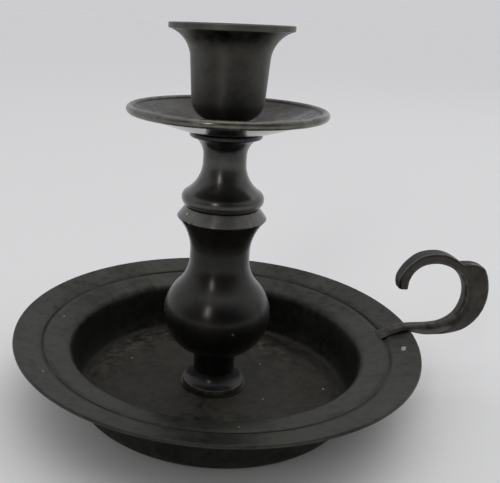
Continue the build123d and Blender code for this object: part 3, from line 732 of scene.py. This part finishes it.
# Thin lines are painted bright in the rubbed-metal colour as painted highlights on the arm's ridge, the
# scroll's outer corner and the leaf's top edge, and the dull film is taken off under them
side_count = corners.shape[1] - 1
for corner, strength, spread in ((1.0, on_arm, 3.0), (3.0, (1 - grown) * (about_loop > scroll_from), 3.0),
                                 (5.7, grown * (about_loop > leaf_from) * (about_loop < leaf_to), 2.0)):
    for place in (corner, side_count - corner):
        line = np.exp(-((np.arange(section.shape[1]) - place * side_points) / spread) ** 2)
        edge = np.maximum(edge, strength[:, None] * line)
        film = film * (1 - strength[:, None] * line)
along = np.append(0, np.cumsum(np.hypot(np.diff(x), np.diff(z))))
left = np.minimum(np.minimum(along, along[-1] - along) / tip_round, 1)
section = section * np.maximum(np.sqrt(1 - (1 - left) ** 2), tip_least)[:, None, None]
facing = np.radians(facing)[:, None]
points = np.stack([x[:, None] + section[..., 0] * np.cos(facing), section[..., 1],
                   z[:, None] + section[..., 0] * np.sin(facing)], -1)

# Inside the rim's edge the palm beds on the rim's cone
rim_height = rim_edge[1] + (np.hypot(points[..., 0], points[..., 1]) - rim_edge[0]) * rim_rise / rim_width
over_rim = np.hypot(points[..., 0], points[..., 1]) < rim_edge[0]
points[..., 2] = np.where(over_rim, np.maximum(points[..., 2], rim_height - palm_sink), points[..., 2])
index = np.arange(points.shape[0] * points.shape[1]).reshape(points.shape[:2])
low, high = index[:-1], index[1:]
faces = np.stack([low, np.roll(low, -1, 1), np.roll(high, -1, 1), high], -1).reshape(-1, 4).tolist()
poles = np.full(index.shape[1], index.size)
faces += np.column_stack([poles, np.roll(index[0], -1), index[0]]).tolist()
faces += np.column_stack([poles + 1, index[-1], np.roll(index[-1], -1)]).tolist()
points = np.vstack([points.reshape(-1, 3), points[0].mean(0), points[-1].mean(0)])
edge, film = np.append(edge.ravel(), [0, 0]), np.append(film.ravel(), [0, 0])

# Cast brass keeps a little of the sand's grain. Its ridges are paler, partly where handling has rubbed
# them and partly as painted highlight lines, and the loop's back and inside are dull and purple-brown.
# The file's marks are drawn 2 mm apart so that they show.
cast_brass = patinated_brass("patinated cast brass", deep="#2d2a27", body="#45423b", worn_and_sheen="#908b83",
                             marks="BANDS", mark_spacing=2.0 * MM, cloud_size=10 * MM, gloss=(0.36, 0.5),
                             dent=0.1 * MM, grain=0.06 * MM, wax=0.15, rub=0.7, dirt="#332b2e")
handle = new_piece("brass_handle", points, faces, cast_brass, edge=edge, film=film)
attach(handle, "root")
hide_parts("handle")

# Handle rivets: two brass rivets through the palm and the rim, filed flush on top and headed below.
# They have darkened with the handle and take its finish.
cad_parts["handle_rivets"].data.materials.clear()
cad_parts["handle_rivets"].data.materials.append(cast_brass)

# Floor: a plain pale table top, painted matt, under the pan's stand ring. It reaches far enough to fill
# the camera's frame.
floor_half = 60.0
floor_drop = 0.1 * MM
floor_mesh = bpy.data.meshes.new("floor")
floor_mesh.from_pydata([(-floor_half, -floor_half, -floor_drop), (floor_half, -floor_half, -floor_drop),
                        (floor_half, floor_half, -floor_drop), (-floor_half, floor_half, -floor_drop)],
                       [], [(0, 1, 2, 3)])
painted = bpy.data.materials.new("matt pale paint")
painted.use_nodes = True
painted.node_tree.nodes["Principled BSDF"].inputs["Base Color"].default_value = linear("#f4f4f2")
painted.node_tree.nodes["Principled BSDF"].inputs["Roughness"].default_value = 0.7
floor_mesh.materials.append(painted)
floor = bpy.data.objects.new("floor", floor_mesh)
bpy.context.scene.collection.objects.link(floor)

# Light: a pale room that is bright behind the object and overhead and dim in front, a wide soft window on the
# right, and in front a tall narrow lamp to the camera's left
room_turn, room_lift = np.radians([84, 30])
room_dark, room_bright = 0.03, 0.63
dark_end, bright_end = -0.5, 0.25
overhead = 0.78
overhead_from = 0.75
room = bpy.data.worlds.new("pale room")
bpy.context.scene.world = room
room.use_nodes = True
room_tree = room.node_tree
direction = add(room_tree, "TexCoord", {}).outputs["Generated"]
brightest = (np.cos(room_turn) * np.cos(room_lift), np.sin(room_turn) * np.cos(room_lift), np.sin(room_lift))
toward = add(room_tree, "VectorMath", {0: direction, 1: brightest}, operation="DOT_PRODUCT").outputs["Value"]
glow = add(room_tree, "MapRange", {0: toward, 1: dark_end, 2: bright_end, 3: room_dark, 4: room_bright},
           interpolation_type="SMOOTHSTEP").outputs[0]
upward = add(room_tree, "SeparateXYZ", {0: direction}).outputs["Z"]
ceiling = add(room_tree, "MapRange", {0: upward, 1: overhead_from, 2: 1.0, 3: 0.0, 4: overhead}).outputs[0]
glow = add(room_tree, "Math", {0: glow, 1: ceiling}, operation="ADD")
room_tree.links.new(glow.outputs[0], room_tree.nodes["Background"].inputs["Strength"])
room_tree.nodes["Background"].inputs["Color"].default_value = linear("#fbfbff")


def lamp(name, turn, lift, distance, width, height, power):
    """A soft light at a turn about the axis and a lift above the middle of the stem, facing it."""
    turn, lift = np.radians(turn), np.radians(lift)
    away = Vector((np.cos(turn) * np.cos(lift), np.sin(turn) * np.cos(lift), np.sin(lift)))
    light = bpy.data.lights.new(name, "AREA")
    light.shape = "RECTANGLE"
    light.size, light.size_y = width, height
    light.energy = power
    lit = bpy.data.objects.new(name, light)
    bpy.context.scene.collection.objects.link(lit)
    lit.location = Vector((0, 0, seam_z)) + away * distance
    lit.rotation_mode = "QUATERNION"
    lit.rotation_quaternion = away.to_track_quat("Z", "Y")


lamp("tall_lamp", turn=-117, lift=28, distance=1.0, width=0.08, height=0.4, power=1.0)
lamp("window", turn=40, lift=50, distance=1.2, width=0.7, height=0.7, power=0.8)

# Camera: the place and lens fitted to the photograph, whose frame is 500 by 483 pixels. Focal length and
# centre are in its pixels, and the swing about the stem sets the handle's direction in the view.
frame_width = 500
focal = 661.7
centre_x = 190.0
camera_away = 0.2316
camera_height = 0.1386
pitch, yaw, roll, swing = np.radians([18.79, -2.77, 2.23, 6.0])
forward = Vector((np.sin(yaw) * np.cos(pitch), np.cos(yaw) * np.cos(pitch), -np.sin(pitch)))
right = Vector((np.cos(yaw), -np.sin(yaw), 0))
up = right.cross(forward)
turned_right = right * np.cos(roll) + up * np.sin(roll)
turned_up = up * np.cos(roll) - right * np.sin(roll)
view_from = Matrix((turned_right, turned_up, -forward)).transposed().to_4x4()
view_from.translation = Vector((0, -camera_away, camera_height))
lens = bpy.data.cameras.new("camera")
lens.sensor_width = 36
lens.lens = focal / frame_width * lens.sensor_width
lens.shift_x = (frame_width / 2 - centre_x) / frame_width
camera = bpy.data.objects.new("camera", lens)
bpy.context.scene.collection.objects.link(camera)
camera.matrix_world = Matrix.Rotation(-swing, 4, "Z") @ view_from
bpy.context.scene.camera = camera
bpy.context.scene.view_settings.view_transform = "Standard"
